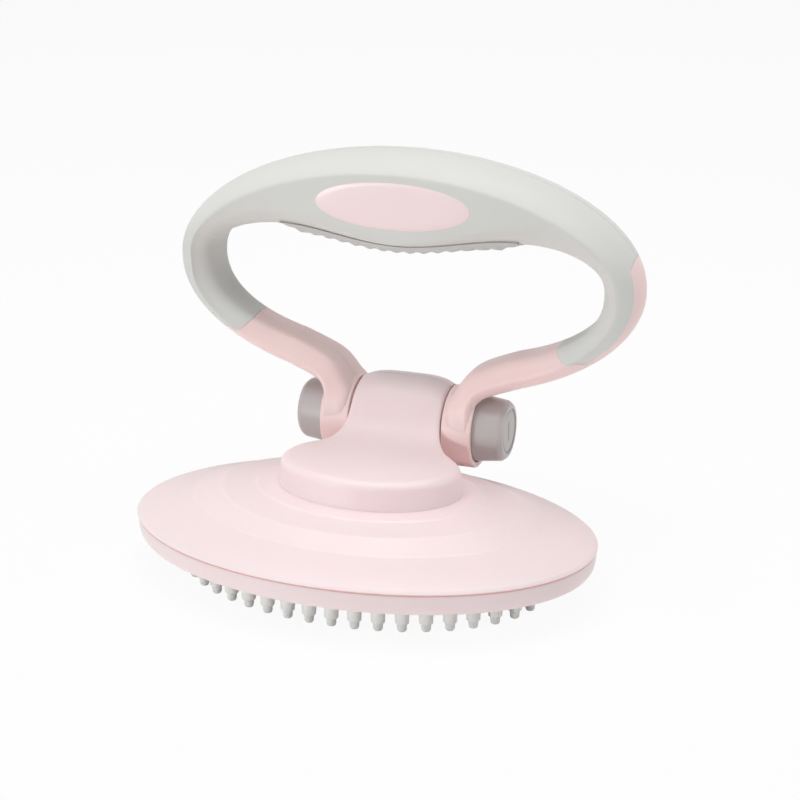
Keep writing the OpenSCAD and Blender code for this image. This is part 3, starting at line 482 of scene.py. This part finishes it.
# One half of each section: a flat front face, which leans inwards on the sides, between two bands that bend
# round to the crests. The outer crease stays crisp and the inner one is soft; both are quadratic arcs.
# Columns run from the outer to the inner crest
def halfSections(stations, face):
    inX, inH, outX, outH, depth, lo, hi, keep = (stations[:, i:i + 1] for i in range(8))
    keep = keep + (loop["rearFill"]*(1 - keep) if face > 0 else 0)
    span = np.hypot(outX - inX, outH - inH)
    crease = math.radians(loop["crease"])

    def bandPoint(edge, crest, bend):
        share = edge + (crest - edge)*(np.cos(bend) - math.cos(crease))/(1 - math.cos(crease))
        return np.stack([share*np.ones_like(depth), np.sin(bend)/math.sin(crease)*np.ones_like(depth)], -1)

    def bendArc(first, corner, last):
        t = np.linspace(0, 1, 7)[None, 1:, None]
        return (1 - t)**2*first[:, None, :] + 2*t*(1 - t)*corner[:, None, :] + t**2*last[:, None, :]

    split = np.arcsin(np.minimum(division["wrap"]/depth, loop["mostWrap"])*math.sin(crease))
    even = np.linspace(0, 1, 6)[None, :]
    one = np.ones_like(hi)
    pastSplit = split + (crease*loop["outerStop"] - split)*even[:, 1:]
    outBand = bandPoint(hi, 1.0, np.concatenate([split*even, pastSplit], 1))
    inBend = np.linspace(crease*loop["innerStop"], 0, 12)[None, :]
    inBand = bandPoint(lo, 0.0, inBend)*np.stack([one, keep], -1)
    inCut = loop["innerRound"]*(1 - loop["innerTop"]*smoothStep(loop["innerFrom"], loop["innerTo"], outH))
    outCut = np.minimum(loop["outerRound"]/span, loop["mostOuter"]*(hi - lo))
    outEnd = np.concatenate([hi - outCut, one], 1)
    cut = np.minimum(inCut/span, loop["mostInner"]*(hi - lo))
    inEnd = np.concatenate([lo + cut, keep + (1 - keep)*cut/(hi - lo)], 1)
    outArc = bendArc(outBand[:, -1], np.concatenate([hi, one], 1), outEnd)
    inArc = bendArc(inEnd, np.concatenate([lo, keep], 1), inBand[:, 0])
    flat = outEnd[:, None, :] + (inEnd - outEnd)[:, None, :]*np.linspace(0, 1, 7)[None, 1:, None]
    line = np.concatenate([outBand, outArc, flat, inArc, inBand[:, 1:]], 1)
    share, deep = line[..., 0], line[..., 1]*depth
    x = inX + (outX - inX)*share
    h = inH + (outH - inH)*share
    return np.stack([x, hinge["y"] + face*deep, hinge["z"] + h], -1)


# Draws every column of a grid again between its own first and last row, in even steps
def betweenRows(grid, first, last, count):
    cols = np.arange(grid.shape[1])[None, :]
    at = first + (last - first)*np.linspace(0, 1, count)[:, None] + 0*cols
    low = np.clip(at.astype(int), 0, len(grid) - 2)
    part = (at - low)[..., None]
    return grid[low, cols]*(1 - part) + grid[low + 1, cols]*part


def footRows(grid):  # row of every column of a right arm where it meets the round foot
    radial = np.hypot(grid[..., 1] - hinge["y"], grid[..., 2] - hinge["z"])
    last = np.max(np.where(radial < loop["saddle"], np.arange(len(grid))[:, None], -1), 0)
    last = np.clip(last, 0, len(grid) - 2)
    cols = np.arange(grid.shape[1])
    r0, r1 = radial[last, cols], radial[last + 1, cols]
    return last + np.clip((loop["saddle"] - r0)/np.maximum(r1 - r0, 1e-6), 0, 1)


def parted(grid, face):  # a shallow groove along both edges where the two halves meet
    along = grid[:, -1:] - grid[:, :1]
    step = along/np.linalg.norm(along, axis=-1, keepdims=True)*loop["parting"]
    lips = grid.copy()
    lips[:, [0, -1], 1] += face*loop["lipShare"]*loop["parting"]
    return np.concatenate([grid[:, :1] + step, lips, grid[:, -1:] - step], 1)


# Closed sheet between the columns of a grid; its two caps are drawn in by amount, to stay under the surface
def closedGrids(grid, amount=0.12):
    rings = []
    for ring in (grid[0], grid[-1]):
        middle = ring.mean(0)
        out = ring - middle
        rings.append(middle + out*(1 - amount/np.maximum(np.linalg.norm(out, axis=-1, keepdims=True), 1)))
    whole = np.concatenate([rings[:1], grid, rings[1:]])
    half = grid.shape[1]//2
    caps = [np.stack([ring[:half], ring[::-1][:half]]) for ring in rings]
    return [(whole, False, True)] + [(cap, False, False) for cap in caps]


# Row of every column where pink ends and grey begins, and where grey runs all the way across
frontGrid, rearGrid = (halfSections(armStations(), face) for face in (-1, 1))
rowZero = len(frontGrid) - loop["lastTurn"] - 1
col = np.arange(frontGrid.shape[1])
wrap, inside = division["wrapCol"], division["rearCol"]
greyRow, topRow = rowZero + division["grey"], rowZero + division["top"]
dip = division["dip"]*smoothStep(*division["dipIn"], col)*(1 - smoothStep(*division["dipOut"], col))
greyFront = greyRow + division["corner"]*(1 - smoothStep(wrap, division["frontCorner"], col)) - dip
greyRear = greyRow + division["corner"]*(1 - smoothStep(0, division["rearCorner"], col))
tongue = np.clip(col/wrap, 0, 1)**division["taperPower"]*(1 - smoothStep(wrap, division["tongueEnd"], col))
topFront = topRow - division["taper"]*tongue
topRear = topRow + 0*col


def bothSides(grids):  # the grids of the right side and their mirror images
    return grids + [(grid*mirror, loopRows, loopCols) for grid, loopRows, loopCols in grids]


armFrontGrid = betweenRows(frontGrid, footRows(frontGrid), greyFront - division["line"], division["armRows"])
obj = meshFrom("arm_front_skin", bothSides(closedGrids(parted(armFrontGrid, -1))), 40)
armFront = finishPiece(obj, armAbs, "handle", "pink_abs", "handle_front_shell")

armRearGrid = betweenRows(rearGrid, footRows(rearGrid), greyRear, division["armRows"])
rearStrip = np.concatenate([frontGrid[:, wrap:0:-1], rearGrid[:, :inside + 1]], 1)
stripFirst = np.concatenate([greyFront[wrap:0:-1], greyRear[:inside + 1]])
stripLast = np.concatenate([topFront[wrap:0:-1], topRear[:inside + 1]])
rearSide = betweenRows(rearStrip, stripFirst, stripLast - division["line"], division["sideRows"])
sunk = division["rearCaps"]
grids = closedGrids(parted(armRearGrid, 1), sunk) + closedGrids(rearSide, sunk)
obj = meshFrom("arm_rear_skin", bothSides(grids), 40)
armRear = finishPiece(obj, armAbs, "handle", "pink_abs", "handle_rear_shell")

greySlice = np.concatenate([frontGrid[:, wrap:], rearGrid[:, -2:inside - 1:-1]], 1)
sliceFirst = np.concatenate([greyFront[wrap:], greyRear[-2:inside - 1:-1]])
sliceLast = np.concatenate([topFront[wrap:], topRear[-2:inside - 1:-1]])
greySide = betweenRows(greySlice, sliceFirst + division["line"], sliceLast, division["sideRows"])


def topHalf(face, edge):  # front or rear half of the grip's top, from edge on the right to edge on the left
    grid = halfSections(loopStations(np.arange(0, 180.5, 1.0)), face)
    return parted(betweenRows(grid, edge - rowZero, 180 - (edge - rowZero), division["topRows"]), face)


grids = bothSides(closedGrids(greySide, 0.0)) + closedGrids(topHalf(-1, topFront), 0.0)
obj = meshFrom("grip_front_skin", grids, 40)
gripFront = finishPiece(obj, gripTpe, "handle", "grip_elastomer", "grip_front")

obj = meshFrom("grip_rear_skin", closedGrids(topHalf(1, topRear)), 40)
gripRear = finishPiece(obj, gripTpe, "handle", "grip_elastomer", "grip_rear")
print("handle", [len(o.data.polygons) for o in (armFront, armRear, gripFront, gripRear)], "faces")

# Feet: a turned cup on the hinge with a soft lip round the button
foot = {"profile": [(6.45, 13.5), (11.2, 13.5), (11.2, 21.8), (9.6, 21.8), (9.6, 17.0), (6.45, 17.0)],
        "rounds": [0.1, 0.45, 0.7, 0.35, 0.1, 0.1]}
bothHands = ((-1, "left"), (1, "right"))
for side, word in bothHands:
    obj = meshFrom("foot_skin_" + word, [(turnedOnHinge(roundedLoop(foot), side, 128), True, True)])
    finishPiece(obj, armAbs, "handle", "pink_abs", "hinge_foot_" + word)

# Buttons: a turned cap with a taper, a chamfered end and a ring groove, and a plain bar in its middle
button = {"profile": [(0.0, 27.6), (6.5, 27.6), (7.4, 25.6), (7.4, 20.2), (9.3, 20.2), (9.3, 21.8),
                      (8.4, 28.8), (7.35, 30.0), (6.3, 30.0), (6.2, 29.55), (5.65, 29.55), (5.5, 29.85),
                      (0.0, 29.85)],
          "rounds": [0.2, 0.2, 0.1, 0.2, 0.3, 0.5, 0.45, 0.12, 0.1, 0.1, 0.12],
          "barHalf": 2.0, "barRound": 0.75, "barTop": 30.05, "barEdge": 0.12, "barFoot": 29.7}
profile = roundCorners(button["profile"], button["rounds"])
turn = np.linspace(0, 2*np.pi, 40, endpoint=False)[None, :]
size = np.array([1.0, 1.0, 0.8, 0.0])[:, None]
top = button["barTop"]
level = np.array([button["barFoot"], top - button["barEdge"], top, top])[:, None]
barAlong = size*(button["barHalf"]*np.clip(4*np.sin(turn), -1, 1) + button["barRound"]*np.sin(turn))
barAcross = size*button["barRound"]*np.cos(turn)
for side, word in bothHands:
    bar = np.stack([side*level + 0*turn, hinge["y"] + barAcross, hinge["z"] + barAlong], -1)
    grids = [(turnedOnHinge(profile, side, 112), True, False), (bar, False, True)]
    obj = meshFrom("button_cap_" + word, grids, 30)
    finishPiece(obj, buttonPom, word + "_button", "button_plastic", "button_" + word)
print("feet and buttons made")

# Badge: an oval inlay that follows the bow of the grip's front, with its edge rolled under
badge = {"a": 21.4, "b": 6.4, "rise": 63.5, "proud": 0.1, "bowHalf": 61.5,
         "shares": [0, 0.3, 0.6, 0.85, 0.95, 1.0, 1.0], "drops": [0, 0, 0, 0, 0.02, 0.12, 1.2]}
turn = np.linspace(0, 2*np.pi, 128, endpoint=False)[:, None]
size, drop = np.array(badge["shares"])[None, :], np.array(badge["drops"])[None, :]
badgeX = badge["a"]*size*np.cos(turn)
badgeH = badge["rise"] + badge["b"]*size*np.sin(turn)
up = np.sqrt(1 - (badgeX/badge["bowHalf"])**2)
bow = loop["sideDepth"] + (loop["gripDepth"] - loop["sideDepth"])*up*(2 - up)
front = np.stack([badgeX, hinge["y"] - bow - badge["proud"] + drop, hinge["z"] + badgeH], -1)
back = front[:, -1:]*np.array([0, 1, 0]) + np.array([0, 0, hinge["z"] + badge["rise"]])
obj = meshFrom("badge_inlay", [(np.concatenate([front, back], 1), True, False)], 40)
finishPiece(obj, inlayPc, "handle", "inlay_plastic", "badge_plate")

# Finger strip: it hangs on a narrower root under the grip and follows its underside, with cosine ribs across
# it. Columns run round the section; those that are low take the strip's own thickness
strip = {"half": 33.5, "depth": 9.0, "root": 8.4, "thick": 1.6, "ripple": 0.22, "pitch": 3.9, "round": 0.5,
         "flat": 3, "fade": 6, "endShare": 0.15, "least": 0.35, "bevel": 0.3, "edgeDrop": 0.3,
         "rootDrop": 0.22, "sunk": 0.6}
x = np.linspace(-strip["half"], strip["half"], 281)[:, None]
d, r, root = strip["depth"], strip["round"], strip["root"]
halfAcross = np.array([strip["flat"], d - r, d - strip["bevel"]*r, d, d, root, root])
halfSink = np.array([0, 0, strip["bevel"]*r, r, 0, 0, 0])
halfLevel = np.array([0, 0, 0, 0, strip["edgeDrop"], strip["rootDrop"], -strip["sunk"]])
halfLow = np.array([True, True, True, True, False, False, False])
acrossY = np.concatenate([-halfAcross[::-1], halfAcross])[None, :]
stations = loopStations(np.degrees(np.arccos(x[:, 0]/loop["gapHalf"])))
inH, outH, depth, lo = (stations[:, i:i + 1] for i in (1, 3, 4, 5))
bend = np.arcsin(np.abs(acrossY)/depth*math.sin(math.radians(loop["crease"])))
under = inH + (outH - inH)*lo*2*(1 - np.cos(bend))
fade = np.clip((strip["half"] - np.abs(x))/strip["fade"], 0, 1)
rib = strip["ripple"]*(1 + np.cos(2*np.pi*x/strip["pitch"]))
reachDown = (strip["thick"] + rib)*(strip["endShare"] + (1 - strip["endShare"])*fade)
sink, level, isLow = (np.concatenate([values[::-1], values])[None, :]
                      for values in (halfSink, halfLevel, halfLow))
down = np.where(isLow, np.maximum(reachDown - sink, strip["least"]), level)
grid = np.stack([x + 0*acrossY, hinge["y"] + acrossY + 0*x, hinge["z"] + under - down], -1)
ends = [(np.stack([ring[:7], ring[::-1][:7]]), False, False) for ring in (grid[0], grid[-1])]
obj = meshFrom("finger_strip_skin", [(grid, False, True)] + ends, 40)
finishPiece(obj, stripTpe, "handle", "strip_elastomer", "finger_strip")

# CAD nodes that stay: their slots get the finished materials
kept = {pinkAbs: ["neck_rear_cover"], innerAbs: ["backing_plate", "plunger_left", "plunger_right"],
        bearingPa: ["hinge_barrel", "trunnion_left", "trunnion_right", "washer_left", "washer_right"],
        zincSteel: ["plate_screws", "neck_screws", "handle_screws", "spring_left", "spring_right",
                    "button_screw_left", "button_screw_right"]}
for material, names in kept.items():
    for name in names:
        for entry in nodes[name].material_slots:
            entry.material = material

# Each return spring gets its own copy of its mesh
for side, word in bothHands:
    spring = nodes["spring_" + word]
    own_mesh(spring)
print("badge, strip and kept nodes dressed")

# Stage: a pale floor that looks white to the camera and keeps the shadow. An overhead softbox is the main
# light, a front fill and a right side lamp open the shadows, and a low front lamp reaches rim and pins
stage = {"size": 8000.0, "floorZ": -0.02, "paper": "#f6f6f6", "white": 0.93, "world": 0.16}
lamps = {
    "overhead_softbox": {"power": 6.5, "size": 800, "place": (-40, -20, 900), "target": (0, 10, 40)},
    "front_fill": {"power": 1.7, "size": 900, "place": (-600, -900, 200), "target": (0, 10, 40)},
    "right_side": {"power": 1.8, "size": 380, "place": (900, 110, 260), "target": (0, 30, 40)},
    "low_front": {"power": 1.9, "size": 110, "place": (-420, -760, 58), "target": (0, -20, 10)},
}


def raysSeen(tree):  # 1 for camera, glossy and transmission rays, 0 for the rays that light the object
    path = addNode(tree, "ShaderNodeLightPath").outputs
    seen = path["Is Camera Ray"]
    for kind in ("Is Glossy Ray", "Is Transmission Ray"):
        links = {0: seen, 1: path[kind]}
        seen = addNode(tree, "ShaderNodeMath", {"operation": "MAXIMUM"}, links=links).outputs[0]
    return seen


half, floorZ = stage["size"]/2, stage["floorZ"]
floorGrid = np.array([[(x, y, floorZ) for x in (-half, half)] for y in (-half, half)])
floor = meshFrom("floor", [(floorGrid, False, False)])
# Matt white paper: it takes the shadow as a diffuse surface and otherwise shows as white
paper = bpy.data.materials.new("matt_white_paper")
paper.use_nodes = True
tree = paper.node_tree
tree.nodes.clear()
share = addNode(tree, "ShaderNodeMath", {"operation": "MULTIPLY"}, {1: stage["white"]}, {0: raysSeen(tree)})
matt = addNode(tree, "ShaderNodeBsdfDiffuse", values={"Color": hexColour(stage["paper"])})
glow = addNode(tree, "ShaderNodeEmission", values={"Color": (1, 1, 1, 1), "Strength": 1.0})
links = {0: share.outputs[0], 1: matt.outputs[0], 2: glow.outputs[0]}
mixed = addNode(tree, "ShaderNodeMixShader", links=links)
addNode(tree, "ShaderNodeOutputMaterial", links={"Surface": mixed.outputs[0]})
floor.data.materials.append(paper)
world = bpy.data.worlds.new("white_studio")
world.use_nodes = True
scene.world = world
tree = world.node_tree
tree.nodes.clear()
soft = addNode(tree, "ShaderNodeBackground", values={"Color": (1, 1, 1, 1), "Strength": stage["world"]})
white = addNode(tree, "ShaderNodeBackground", values={"Color": (1, 1, 1, 1), "Strength": 1.0})
links = {0: raysSeen(tree), 1: soft.outputs[0], 2: white.outputs[0]}
mixed = addNode(tree, "ShaderNodeMixShader", links=links)
addNode(tree, "ShaderNodeOutputWorld", links={"Surface": mixed.outputs[0]})


def softbox(name, power, size, place, target):  # a square area lamp aimed at a point
    lamp = bpy.data.lights.new(name, "AREA")
    lamp.shape = "SQUARE"
    lamp.size = size/1000
    lamp.energy = power
    obj = bpy.data.objects.new(name, lamp)
    scene.collection.objects.link(obj)
    back = np.array(place, float) - np.array(target, float)
    back /= np.linalg.norm(back)
    side = np.cross([0.0, 1.0, 0.0] if abs(back[2]) > 0.9 else [0.0, 0.0, 1.0], back)
    side /= np.linalg.norm(side)
    turned = np.eye(4)
    turned[:3, 0], turned[:3, 1], turned[:3, 2] = side, np.cross(back, side), back
    turned[:3, 3] = np.array(place, float)/1000
    obj.matrix_world = Matrix(turned.tolist())


for name, lamp in lamps.items():
    softbox(name, **lamp)
scene.view_settings.view_transform = "Standard"
print("stage lit")
